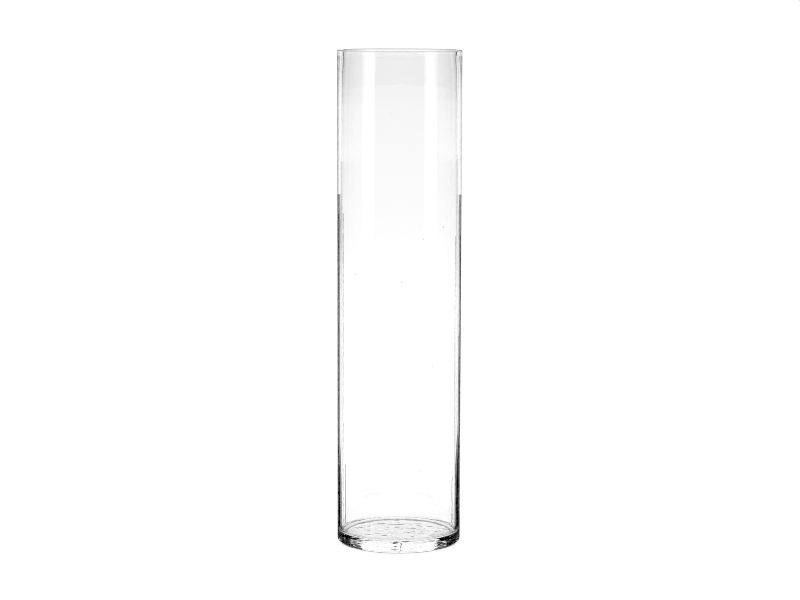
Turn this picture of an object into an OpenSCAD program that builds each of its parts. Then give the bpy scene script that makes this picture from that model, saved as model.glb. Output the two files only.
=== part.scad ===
// Glass cylinder vase: a tall straight cylinder of clear glass with a heavy base and a flat cut rim.
// Millimetres. +Z is up. The origin is on the vase's axis, on the surface that the vase stands on.
// The glass is one fused body. It is drawn as the three sections that a glassmaker names, and each
// section butts against the next one face to face, with no overlap and no gap.

/* [Overall] */
// Outside diameter
vase_d = 100; // [60:1:200]
// Height from the standing surface to the rim
vase_h = 400; // [150:5:700]

/* [Side wall] */
// Thickness of the side wall
wall_t = 3.4; // [2:0.1:8]

/* [Rim] */
// Extra thickness of the wall at the mouth
rim_thickening = 1.6; // [0.4:0.1:4]
// Height over which the wall thickens towards the mouth, along an arc
rim_flare_h = 38; // [20:1:60]
// Height of the straight stretch at the mouth
mouth_land_h = 4; // [3:1:20]
// Width of the ground edge on both sides of the flat rim
rim_arris = 0.5; // [0.2:0.1:1]

/* [Base] */
// Thickness of the base over its standing ring
base_t = 9.5; // [6:0.5:24]
// Radius between the inside floor and the wall
floor_fillet_r = 3; // [2:0.5:10]
// Radius of the heel, the outside bottom corner
heel_r = 3; // [1:0.5:5]

/* [Foot] */
// Width of the flat ring that the vase stands on
standing_ring_w = 3; // [2:0.5:12]
// Depth of the hollow under the base
foot_hollow_depth = 1; // [0.4:0.1:3]
// Width of the slope at the edge of that hollow
foot_hollow_slope_w = 2.5; // [1:0.5:8]

/* [Hidden] */
$fn = 180;
glass = [0.90, 0.95, 0.94, 0.35];
// How far a cutting shape runs past the face that it opens
past = 1;
// Straight steps that the arc of the rim is drawn with
flare_steps = 6;

outer_r = vase_d / 2;
inner_r = outer_r - wall_t;
mouth_r = inner_r - rim_thickening;
// Heights of the two butt joints
wall_bottom_z = base_t + floor_fillet_r;
wall_top_z = vase_h - mouth_land_h - rim_flare_h;
// The standing ring runs inwards from the heel
standing_ring_outer_r = outer_r - heel_r;
standing_ring_inner_r = standing_ring_outer_r - standing_ring_w;

// Half the section of a plain disc, drawn from the axis outwards
module disc_profile(radius, bottom, top) {
    translate([0, bottom]) square([radius, top - bottom]);
}

// The same, with its lower outside corner rounded
module round_bottom_profile(radius, corner_r, bottom, top) {
    corner_z = bottom + corner_r;
    disc_profile(radius - corner_r, bottom, top);
    disc_profile(radius, corner_z, top);
    intersection() {
        translate([radius - corner_r, corner_z]) circle(corner_r);
        disc_profile(radius, bottom, corner_z);
    }
}

// Half the section of the shallow hollow inside the standing ring
module foot_hollow_profile() {
    polygon([
        [0, -past],
        [standing_ring_inner_r, -past],
        [standing_ring_inner_r, 0],
        [standing_ring_inner_r - foot_hollow_slope_w, foot_hollow_depth],
        [0, foot_hollow_depth],
    ]);
}

// The heavy bottom: heel, standing ring, hollow underside, inside floor and the fillet up to the wall
module base() {
    color(glass) rotate_extrude() difference() {
        round_bottom_profile(outer_r, heel_r, 0, wall_bottom_z);
        round_bottom_profile(inner_r, floor_fillet_r, base_t, wall_bottom_z + past);
        foot_hollow_profile();
    }
}

// The straight tube between the base and the rim
module side_wall() {
    wall_h = wall_top_z - wall_bottom_z;
    color(glass) translate([0, 0, wall_bottom_z]) difference() {
        cylinder(r = outer_r, h = wall_h);
        translate([0, 0, -past]) cylinder(r = inner_r, h = wall_h + 2 * past);
    }
}

// Inside of the rim, from the mouth down to the straight wall, as a shallow arc that meets the wall smoothly
function flare_points() = [
    for (step = [flare_steps : -1 : 0])
        let (share = step / flare_steps)
        [inner_r - rim_thickening * pow(share, 2), wall_top_z + rim_flare_h * share]
];

// The top of the wall: it thickens inwards to the mouth, and is cut flat with two ground edges
module rim() {
    color(glass) rotate_extrude() polygon(concat(
        [
            [outer_r, wall_top_z],
            [outer_r, vase_h - rim_arris],
            [outer_r - rim_arris, vase_h],
            [mouth_r + rim_arris, vase_h],
            [mouth_r, vase_h - rim_arris],
        ],
        flare_points()
    ));
}

base();
side_wall();
rim();
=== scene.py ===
import math
import random
import bmesh
import bpy
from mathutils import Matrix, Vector, noise


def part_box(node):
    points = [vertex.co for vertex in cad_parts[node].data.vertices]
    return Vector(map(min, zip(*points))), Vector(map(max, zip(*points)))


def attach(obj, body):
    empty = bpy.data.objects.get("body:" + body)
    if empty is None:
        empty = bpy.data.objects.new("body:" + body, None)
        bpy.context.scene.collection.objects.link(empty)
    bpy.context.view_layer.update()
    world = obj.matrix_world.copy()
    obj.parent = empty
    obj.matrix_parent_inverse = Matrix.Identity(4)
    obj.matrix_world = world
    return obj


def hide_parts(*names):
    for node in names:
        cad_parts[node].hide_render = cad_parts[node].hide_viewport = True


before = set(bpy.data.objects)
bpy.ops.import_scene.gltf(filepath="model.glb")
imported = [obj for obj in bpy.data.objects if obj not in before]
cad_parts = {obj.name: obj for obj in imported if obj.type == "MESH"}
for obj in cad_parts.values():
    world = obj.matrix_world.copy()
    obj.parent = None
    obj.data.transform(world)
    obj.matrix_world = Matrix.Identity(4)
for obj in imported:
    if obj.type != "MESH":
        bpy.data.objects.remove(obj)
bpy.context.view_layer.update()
print("frame: vase of the packed model loaded")

scene = bpy.context.scene


def smallestRadius(node):
    return min(Vector(v.co.xy).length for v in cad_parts[node].data.vertices)


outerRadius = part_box("side_wall")[1].x
innerRadius = smallestRadius("side_wall")
mouthRadius = smallestRadius("rim")
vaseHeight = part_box("rim")[1].z
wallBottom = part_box("side_wall")[0].z   # where the base ends
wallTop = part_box("side_wall")[1].z      # where the rim starts to thicken
print("sizes: radius", round(outerRadius, 4), "inside", round(innerRadius, 4),
      "mouth", round(mouthRadius, 4), "height", round(vaseHeight, 4))


vase = {
    "floorFillet": 0.003,       # radius between the inside floor and the wall
    "heel": 0.003,              # radius of the outside bottom corner
    "standingRing": 0.003,      # width of the flat ring it stands on
    "hollowDepth": 0.001,       # the shallow hollow under the base
    "hollowSlope": 0.0025,
    "mouthLand": 0.004,         # straight stretch at the mouth
    "arris": 0.0005,            # ground edge on both sides of the flat rim
    "segments": 384,            # faces round the vase
    "wallStep": 0.004,          # height of the faces of the wall
    "landStep": 0.001,          # height of the faces of the straight stretch at the mouth
    "floorStep": 0.0008,        # width of the faces of the floor and the underside
    "slopeRows": 8,             # rows of faces on the slope of the hollow
    "heelRows": 10,             # round the heel
    "flareRows": 24,            # where the wall thickens
    "filletRows": 14,           # and round the fillet
    "sharpAngle": 35,           # edges over this many degrees stay sharp
}


def lineOf(start, end, step):
    count = max(1, round((Vector(end) - Vector(start)).length / step))
    return [Vector(start).lerp(Vector(end), i / count) for i in range(1, count + 1)]


def arcOf(centre, radius, fromAngle, toAngle, count):
    points = []
    for i in range(1, count + 1):
        angle = math.radians(fromAngle + (toAngle - fromAngle) * i / count)
        x = centre[0] + radius * math.cos(angle)
        points.append(Vector((x, centre[1] + radius * math.sin(angle))))
    return points


# half of the section, from the middle of the underside round to the middle of the inside floor
def vaseProfile():
    floorZ = wallBottom - vase["floorFillet"]
    ringOuter = outerRadius - vase["heel"]
    ringInner = ringOuter - vase["standingRing"]
    hollowEdge = ringInner - vase["hollowSlope"]
    arris = vase["arris"]
    landBottom = vaseHeight - vase["mouthLand"]
    fine = vase["floorStep"]
    parts = []
    under = [Vector((0, vase["hollowDepth"]))]
    under += lineOf((0, vase["hollowDepth"]), (hollowEdge, vase["hollowDepth"]), fine)
    for i in range(1, vase["slopeRows"] + 1):   # the slope eases in and out
        t = i / vase["slopeRows"]
        ease = t * t * (3 - 2 * t)
        under.append(Vector((hollowEdge + vase["hollowSlope"] * t, vase["hollowDepth"] * (1 - ease))))
    under += lineOf((ringInner, 0), (ringOuter, 0), fine)
    parts.append(("under", under))
    parts.append(("heel", arcOf((ringOuter, vase["heel"]), vase["heel"], -90, 0, vase["heelRows"])))
    outside = lineOf((outerRadius, vase["heel"]), (outerRadius, vaseHeight - arris), vase["wallStep"])
    parts.append(("outside", outside))
    top = lineOf((outerRadius, vaseHeight - arris), (outerRadius - arris, vaseHeight), arris / 3)
    top += lineOf((outerRadius - arris, vaseHeight), (mouthRadius + arris, vaseHeight), fine)
    top += lineOf((mouthRadius + arris, vaseHeight), (mouthRadius, vaseHeight - arris), arris / 3)
    parts.append(("top", top))
    inside = lineOf((mouthRadius, vaseHeight - arris), (mouthRadius, landBottom), vase["landStep"])
    for i in range(vase["flareRows"] - 1, -1, -1):      # the wall thickens to the mouth along a shallow arc
        share = i / vase["flareRows"]
        inside.append(Vector((innerRadius - (innerRadius - mouthRadius) * share ** 2,
                              wallTop + (landBottom - wallTop) * share)))
    inside += lineOf((innerRadius, wallTop), (innerRadius, wallBottom), vase["wallStep"])
    parts.append(("inside", inside))
    fillet = vase["floorFillet"]
    parts.append(("fillet", arcOf((innerRadius - fillet, wallBottom), fillet, 0, -90, vase["filletRows"])))
    parts.append(("floor", lineOf((innerRadius - fillet, floorZ), (0, floorZ), fine)))
    return parts


def buildVase():
    profile = []
    for zone, points in vaseProfile():
        for p in points:
            profile.append((zone, p.x, p.y))
    n = vase["segments"]
    verts = []
    ground = []     # 1 on the ground edges of the rim, which are matt and greyed with painted shade, 0 on clear glass
    rings = []
    for zone, r, z in profile:
        if r < 1e-7:
            rings.append([len(verts)])
            verts.append((0, 0, z))
            ground.append(0.0)
            continue
        ring = []
        for k in range(n):
            a = 2 * math.pi * k / n
            c, s = math.cos(a), math.sin(a)
            rr, zz = r, z
            if zone in ("inside", "fillet"):
                rr += wallWander(a, z)
            if zone == "floor":
                zz += floorRipple(r * c, r * s)
            if zone == "under" and z > 0:
                zz -= underRipple(r * c, r * s, z)
            ring.append(len(verts))
            verts.append((rr * c, rr * s, zz))
            ground.append(1.0 if zone == "top" and z < vaseHeight - 1e-6 else 0.0)
        rings.append(ring)
    faces = []
    for low, high in zip(rings, rings[1:]):
        for k in range(n):
            m = (k + 1) % n
            if len(low) == 1:
                faces.append((low[0], high[m], high[k]))
            elif len(high) == 1:
                faces.append((low[k], low[m], high[0]))
            else:
                faces.append((low[k], low[m], high[m], high[k]))
    scatterBubbles(verts, faces, ground)
    mesh = bpy.data.meshes.new("glass_body")
    mesh.from_pydata(verts, [], faces)
    mesh.attributes.new("ground", "FLOAT", "POINT").data.foreach_set("value", ground)
    mesh.shade_smooth()
    mesh.set_sharp_from_angle(angle=math.radians(vase["sharpAngle"]))
    body = bpy.data.objects.new("glass_body", mesh)
    scene.collection.objects.link(body)
    return body


# small air bubbles, drawn out upwards in the wall and round in the base
bubbles = {
    "wallCount": 16,
    "wallFrom": 0.04,           # lowest one in the wall
    "footCount": 14,            # more of them where the wall meets the base
    "footHeights": (0.014, 0.034),
    "baseCount": 26,
    "baseMargin": 0.001,        # glass left above and below one in the base
    "radius": (0.00012, 0.00034),
    "stretch": (1.3, 2.6),
    "front": (0.0172, -0.0451, 0.0665),     # the one that shows in the clear front
    "frontStretch": 1.8,
    "subdivisions": 2,
    "seed": 7,
}


def addBubble(verts, faces, ground, centre, radius, stretch):
    shape = bmesh.new()
    bmesh.ops.create_icosphere(shape, subdivisions=bubbles["subdivisions"], radius=radius)
    first = len(verts)
    for v in shape.verts:
        verts.append((centre[0] + v.co.x, centre[1] + v.co.y, centre[2] + v.co.z * stretch))
        ground.append(0.0)
    for f in shape.faces:       # turned inwards, as it is a hole in the glass
        faces.append(tuple(first + v.index for v in reversed(f.verts)))
    shape.free()


def scatterBubbles(verts, faces, ground):
    rng = random.Random(bubbles["seed"])
    low, high = bubbles["radius"]
    middle = (innerRadius + outerRadius) / 2
    spread = (outerRadius - innerRadius) / 2 - 2 * high
    floorZ = wallBottom - vase["floorFillet"]
    places = []
    for i in range(bubbles["wallCount"] + bubbles["footCount"]):
        inWall = i < bubbles["wallCount"]
        a = rng.uniform(0, 2 * math.pi)
        r = middle + rng.uniform(-spread, spread)
        z = rng.uniform(bubbles["wallFrom"], wallTop) if inWall else rng.uniform(*bubbles["footHeights"])
        places.append((r * math.cos(a), r * math.sin(a), z, rng.uniform(*bubbles["stretch"])))
    for i in range(bubbles["baseCount"]):
        a = rng.uniform(0, 2 * math.pi)
        r = innerRadius * math.sqrt(rng.random())
        z = rng.uniform(vase["hollowDepth"] + bubbles["baseMargin"], floorZ - bubbles["baseMargin"])
        places.append((r * math.cos(a), r * math.sin(a), z, 1.0))
    places.append((*bubbles["front"], bubbles["frontStretch"]))
    for x, y, z, stretch in places:
        addBubble(verts, faces, ground, (x, y, z), rng.uniform(low, high), stretch)


# slow waves in the inside of the wall, and ripples in the inside floor and under the base
waves = {
    "wall": {
        "depth": 0.00010,
        "fade": 0.01,           # the wall is true at the mouth, and wanders fully this far below it
        "broad": (1.3, 3.0),    # how close the broad waves lie round the wall, and up it
        "streaks": (6, 2.0),    # the same for the finer streaks on them
        "streakShare": 0.35,
        "shift": 10,            # which stretch of the noise is taken
    },
    "floor": {"depth": 0.00005, "grain": 0.011, "shift": 0.3, "fineShare": 0.5, "fine": 2.3, "fade": 0.004},
    "under": {"depth": 0.00014, "grain": 0.007, "shift": 4.1, "fineShare": 0.5, "fine": 2.1},
}


def wallWander(a, z):
    spec = waves["wall"]
    fade = min(1, max(0, (vaseHeight - z) / spec["fade"]))
    c, s = math.cos(a), math.sin(a)
    around, up = spec["broad"]
    broad = noise.noise(Vector((c * around, s * around, z * up)))
    around, up = spec["streaks"]
    streaks = noise.noise(Vector((c * around + spec["shift"], s * around, z * up)))
    return fade * spec["depth"] * (broad + spec["streakShare"] * streaks)


def ripple(spec, fade, x, y):
    p = Vector((x / spec["grain"], y / spec["grain"], spec["shift"]))
    return fade * spec["depth"] * (noise.noise(p) + spec["fineShare"] * noise.noise(p * spec["fine"]))


def floorRipple(x, y):
    margin = innerRadius - vase["floorFillet"] - math.hypot(x, y)
    return ripple(waves["floor"], min(1, max(0, margin / waves["floor"]["fade"])), x, y)


def underRipple(x, y, z):
    return ripple(waves["under"], min(1, z / vase["hollowDepth"]), x, y)


glass = {
    "ior": 1.52,
    "haze": 0.012,              # roughness of the faint cloudy patches
    "hazeScale": 9,
    "hazeDetail": 4,
    "hazeRange": (0.5, 0.8),    # below the first there is none
    "groundRoughness": 0.45,    # the ground edges of the rim
    # grey for the ground edges of the rim: painted shade, so that they draw as dark lines
    "groundColour": (0.42, 0.43, 0.43, 1),
    "peel": 0.00002,            # depth of the orange peel of the moulded outside
    "peelScale": 140,
    "peelDetail": 2,
    "absorption": 1.5,          # per metre
    "tint": (0.94, 0.955, 0.95, 1),
}


def glassMaterial():
    mat = bpy.data.materials.new("clear_glass")
    mat.use_nodes = True
    nodes, links = mat.node_tree.nodes, mat.node_tree.links
    shader = nodes["Principled BSDF"]
    shader.inputs["Transmission Weight"].default_value = 1
    shader.inputs["IOR"].default_value = glass["ior"]
    place = nodes.new("ShaderNodeTexCoord")
    # cloudy patches where the glass is a little less clean
    cloud = nodes.new("ShaderNodeTexNoise")
    cloud.inputs["Scale"].default_value = glass["hazeScale"]
    cloud.inputs["Detail"].default_value = glass["hazeDetail"]
    haze = nodes.new("ShaderNodeMapRange")
    haze.inputs["From Min"].default_value = glass["hazeRange"][0]
    haze.inputs["From Max"].default_value = glass["hazeRange"][1]
    haze.inputs["To Max"].default_value = glass["haze"]
    links.new(place.outputs["Object"], cloud.inputs["Vector"])
    links.new(cloud.outputs["Fac"], haze.inputs["Value"])
    # the ground edges of the rim are matt, and they are also greyed with painted shade
    edge = nodes.new("ShaderNodeAttribute")
    edge.attribute_name = "ground"
    matt = nodes.new("ShaderNodeMath")
    matt.operation = "MULTIPLY_ADD"
    matt.inputs[1].default_value = glass["groundRoughness"]
    links.new(edge.outputs["Fac"], matt.inputs[0])
    links.new(haze.outputs["Result"], matt.inputs[2])
    links.new(matt.outputs["Value"], shader.inputs["Roughness"])
    # painted shade: the ground edges of the rim are tinted grey, so that they show as dark lines round the
    # rim
    paintedEdgeShade = nodes.new("ShaderNodeMix")
    paintedEdgeShade.data_type = "RGBA"
    paintedEdgeShade.inputs["A"].default_value = (1, 1, 1, 1)
    paintedEdgeShade.inputs["B"].default_value = glass["groundColour"]
    links.new(edge.outputs["Fac"], paintedEdgeShade.inputs["Factor"])
    links.new(paintedEdgeShade.outputs["Result"], shader.inputs["Base Color"])
    # orange peel
    peel = nodes.new("ShaderNodeTexNoise")
    peel.inputs["Scale"].default_value = glass["peelScale"]
    peel.inputs["Detail"].default_value = glass["peelDetail"]
    bump = nodes.new("ShaderNodeBump")
    bump.inputs["Distance"].default_value = glass["peel"]
    links.new(place.outputs["Object"], peel.inputs["Vector"])
    links.new(peel.outputs["Fac"], bump.inputs["Height"])
    links.new(bump.outputs["Normal"], shader.inputs["Normal"])
    volume = nodes.new("ShaderNodeVolumeAbsorption")
    volume.inputs["Color"].default_value = glass["tint"]
    volume.inputs["Density"].default_value = glass["absorption"]
    links.new(volume.outputs["Volume"], nodes["Material Output"].inputs["Volume"])
    return mat


body = buildVase()
body.data.materials.append(glassMaterial())
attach(body, "root")
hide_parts("base", "side_wall", "rim")
print("vase:", len(body.data.vertices), "points")


camera = {
    "distance": 1.88,           # from the axis of the vase
    "height": 0.4453,
    "tilt": 7.481,              # degrees below level
    "roll": -0.15,
    "lens": 105.43,
    "sight": 200,               # it sees past the far edge of the floor
}

cameraObject = bpy.data.objects.new("camera", bpy.data.cameras.new("camera"))
scene.collection.objects.link(cameraObject)
cameraObject.location = (0, -camera["distance"], camera["height"])
cameraObject.rotation_euler = (math.radians(90 - camera["tilt"]), math.radians(camera["roll"]), 0)
cameraObject.data.lens = camera["lens"]
cameraObject.data.clip_end = camera["sight"]
scene.camera = cameraObject

studio = {
    "floorSize": 160,
    "floorDrop": 0.0002,        # a hair under the glass
    "floorColour": 0.15,
    "floorGlow": 0.88,          # the white sweep is lit from below too, so the foot has hardly a shadow
    # pairs of the sine of the elevation and the brightness there
    "roomByHeight": [(0.0, 1.0), (0.1, 0.99), (0.3, 0.99), (0.6, 1.1), (1.0, 1.15)],
    "topLightPower": 6,
    "topLightSize": 1.6,
    "topLightPlace": (0, 0.5, 2.2),
}


def paper(name, colour, light):
    mat = bpy.data.materials.new(name)
    mat.use_nodes = True
    shader = mat.node_tree.nodes["Principled BSDF"]
    shader.inputs["Base Color"].default_value = (colour, colour, colour, 1)
    shader.inputs["Roughness"].default_value = 1
    shader.inputs["Specular IOR Level"].default_value = 0
    shader.inputs["Emission Color"].default_value = (1, 1, 1, 1)
    shader.inputs["Emission Strength"].default_value = light
    return mat


def glow(name, levels):
    mat = bpy.data.materials.new(name)      # brightness from the foot of a card to its top
    mat.use_nodes = True
    nodes, links = mat.node_tree.nodes, mat.node_tree.links
    nodes.remove(nodes["Principled BSDF"])
    emission = nodes.new("ShaderNodeEmission")
    emission.inputs["Strength"].default_value = max(levels)
    links.new(emission.outputs["Emission"], nodes["Material Output"].inputs["Surface"])
    if len(levels) > 1:
        place = nodes.new("ShaderNodeTexCoord")
        links.new(heightRamp(nodes, links, place, levels), emission.inputs["Color"])
    return mat


def heightRamp(nodes, links, place, levels, stops=None):
    split = nodes.new("ShaderNodeSeparateXYZ")
    ramp = nodes.new("ShaderNodeValToRGB")
    while len(ramp.color_ramp.elements) < len(levels):
        ramp.color_ramp.elements.new(0.5)
    for i, (element, level) in enumerate(zip(ramp.color_ramp.elements, levels)):
        element.position = stops[i] if stops else i / (len(levels) - 1)
        share = level / max(levels)
        element.color = (share, share, share, 1)
    links.new(place.outputs["Generated"], split.inputs["Vector"])
    links.new(split.outputs["Z"], ramp.inputs["Fac"])
    return ramp.outputs["Color"]


def squareAt(half, z):
    return [(-half, -half, z), (half, -half, z), (half, half, z), (-half, half, z)]


def buildFloor():
    mesh = bpy.data.meshes.new("floor")
    mesh.from_pydata(squareAt(studio["floorSize"] / 2, -studio["floorDrop"]), [], [(0, 1, 2, 3)])
    mesh.materials.append(paper("floorPaper", studio["floorColour"], studio["floorGlow"]))
    floor = bpy.data.objects.new("floor", mesh)
    scene.collection.objects.link(floor)


def buildRoom():
    world = bpy.data.worlds.new("room")
    scene.world = world
    world.use_nodes = True
    nodes, links = world.node_tree.nodes, world.node_tree.links
    stops = [at for at, level in studio["roomByHeight"]]
    levels = [level for at, level in studio["roomByHeight"]]
    direction = nodes.new("ShaderNodeTexCoord")
    links.new(heightRamp(nodes, links, direction, levels, stops), nodes["Background"].inputs["Color"])
    nodes["Background"].inputs["Strength"].default_value = max(levels)


def buildTopLight():
    light = bpy.data.lights.new("topLight", "AREA")
    light.shape = "DISK"
    light.size = studio["topLightSize"]
    light.energy = studio["topLightPower"]
    thing = bpy.data.objects.new("topLight", light)
    thing.location = studio["topLightPlace"]
    scene.collection.objects.link(thing)


# Cards that only the glass sees. Angles run from straight behind the vase round to the camera,
# heights and distances are in metres, and the levels are brightness from the foot to the top.
rig = {
    "ceiling": {"reach": 4.0, "height": 3.0, "level": 0.0},
    "walls": {
        "back": {"distance": 4.0, "angles": (0, 27), "heights": (1.2, 3.0), "levels": [0.0]},
        "side": {"distance": 4.0, "angles": (41, 180), "heights": (0.33, 3.0), "levels": [0.0]},
        "sideFoot": {"distance": 4.0, "angles": (41, 107), "heights": (0, 0.33),
                     "levels": [0.8, 0.6, 0.4, 0.15, 0.0]},
        "sideLow": {"distance": 1.6, "angles": (37, 107), "heights": (0, 0.2), "levels": [1.0, 0.7, 0.5]},
        "front": {"distance": 1.6, "angles": (104, 180), "heights": (0, 0.36),
                  "levels": [1.0, 0.66, 0.45, 0.28, 0.0]},
        "light": {"distance": 1.5, "angles": (107.5, 131.5), "heights": (0.0, 1.3), "levels": [1.5],
                  "footLean": 5},
    },
    # thin fins right beside the glass: the outline is height and width
    "fins": {
        "Left": [
            {"behind": 0.0, "gap": 0.00005, "level": 0.0,
             "outline": [(0, 0.010), (0.05, 0.008), (0.085, 0.0036), (0.2, 0.0040), (0.26, 0.0055),
                         (0.284, 0.0050)]},
            {"behind": 0.008, "gap": 0.0001, "level": 0.0, "outline": [(0, 0.0019), (0.268, 0.0019)]},
            {"behind": 0.016, "gap": 0.0004, "level": 0.0, "outline": [(0, 0.0016), (0.06, 0.0008)]},
            {"behind": 0.0, "gap": 0.00005, "level": 0.35, "outline": [(0.284, 0.0016), (0.4, 0.0026)]},
        ],
        "Right": [
            {"behind": 0.0, "gap": 0.00005, "level": 0.0,
             "outline": [(0, 0.014), (0.05, 0.012), (0.09, 0.0042), (0.2, 0.0034), (0.27, 0.0045),
                         (0.284, 0.0040)]},
            {"behind": 0.008, "gap": 0.0001, "level": 0.0, "outline": [(0, 0.0019), (0.25, 0.0019)]},
            {"behind": 0.016, "gap": 0.0004, "level": 0.0, "outline": [(0, 0.0016), (0.055, 0.0008)]},
            {"behind": 0.0, "gap": 0.00005, "level": 0.35,
             "outline": [(0.284, 0.0014), (0.36, 0.0024), (0.4, 0.0034)]},
        ],
    },
    # short upright card behind the foot, edge on to the camera, so that only the sides of the base see it
    "footFin": {"y": (0.0525, 0.0654), "height": 0.0125},
    # dark paper on the floor round the sides of the foot
    "footCard": {"radii": (0.0512, 0.098), "angles": (72, 130), "height": 0.0005},
    "wallSteps": 24,            # faces along a bent card
    "footCardSteps": 40,
}


def bent(name, spec, side):
    lean = spec.get("footLean", 0)      # the foot of the card starts this much nearer to its far edge
    low, high = spec["heights"]
    start, end = spec["angles"]
    steps = rig["wallSteps"]
    points = []
    for i in range(steps + 1):
        for z, first, last in ((low, start, end - lean), (high, start, end)):
            a = side * math.radians(first + (last - first) * i / steps)
            points.append((spec["distance"] * math.sin(a), spec["distance"] * math.cos(a), z))
    faces = [(2 * i, 2 * i + 2, 2 * i + 3, 2 * i + 1) for i in range(steps)]
    return card(name, points, faces, glow(name, spec["levels"]))


def card(name, points, faces, material):
    mesh = bpy.data.meshes.new(name)
    mesh.from_pydata(points, [], faces)
    mesh.materials.append(material)
    thing = bpy.data.objects.new(name, mesh)
    scene.collection.objects.link(thing)
    thing.visible_camera = False
    thing.visible_diffuse = False
    thing.visible_shadow = False
    return thing


def fin(name, spec, side):
    y = spec["behind"]
    near = math.sqrt(outerRadius ** 2 - y ** 2) + spec["gap"]
    points = []
    for z, width in spec["outline"]:
        points += [(side * near, y, z), (side * (near + width), y, z)]
    faces = [(2 * i, 2 * i + 1, 2 * i + 3, 2 * i + 2) for i in range(len(spec["outline"]) - 1)]
    return card(name, points, faces, glow(name, [spec["level"]]))


def levelCard(name, spec, side, material):
    start, end = spec["angles"]
    steps = rig["footCardSteps"]
    points = []
    for i in range(steps + 1):
        a = side * math.radians(start + (end - start) * i / steps)
        points += [(r * math.sin(a), r * math.cos(a), spec["height"]) for r in spec["radii"]]
    faces = [(2 * i, 2 * i + 1, 2 * i + 3, 2 * i + 2) for i in range(steps)]
    return card(name, points, faces, material)


def buildRig():
    holder = bpy.data.objects.new("cardRig", None)
    scene.collection.objects.link(holder)
    aim = holder.constraints.new("LOCKED_TRACK")    # the whole rig turns with the camera
    aim.target = cameraObject
    aim.track_axis = "TRACK_NEGATIVE_Y"
    aim.lock_axis = "LOCK_Z"
    black = glow("blackCard", [0.0])
    top = rig["ceiling"]
    ceiling = squareAt(top["reach"], top["height"])
    cards = [card("ceiling", ceiling, [(0, 1, 2, 3)], glow("ceiling", [top["level"]]))]
    near, far = rig["footFin"]["y"]
    high = rig["footFin"]["height"]
    upright = [(0, near, 0), (0, far, 0), (0, far, high), (0, near, high)]
    cards.append(card("footFin", upright, [(0, 1, 2, 3)], black))
    for side, where in ((-1, "Left"), (1, "Right")):
        for name, spec in rig["walls"].items():
            cards.append(bent(name + where, spec, side))
        for i, spec in enumerate(rig["fins"][where]):
            cards.append(fin("fin" + where + str(i + 1), spec, side))
        cards.append(levelCard("footCard" + where, rig["footCard"], side, black))
    for thing in cards:
        thing.parent = holder


buildFloor()
buildRoom()
buildTopLight()
buildRig()

scene.view_settings.view_transform = "Standard"
scene.cycles.max_bounces = 32
scene.cycles.filter_width = 0.9     # crisp lines in the glass
scene.cycles.transmission_bounces = 32
scene.cycles.glossy_bounces = 16
scene.cycles.diffuse_bounces = 4
scene.cycles.caustics_refractive = True
scene.cycles.caustics_reflective = True
print("studio: floor, room and camera ready")
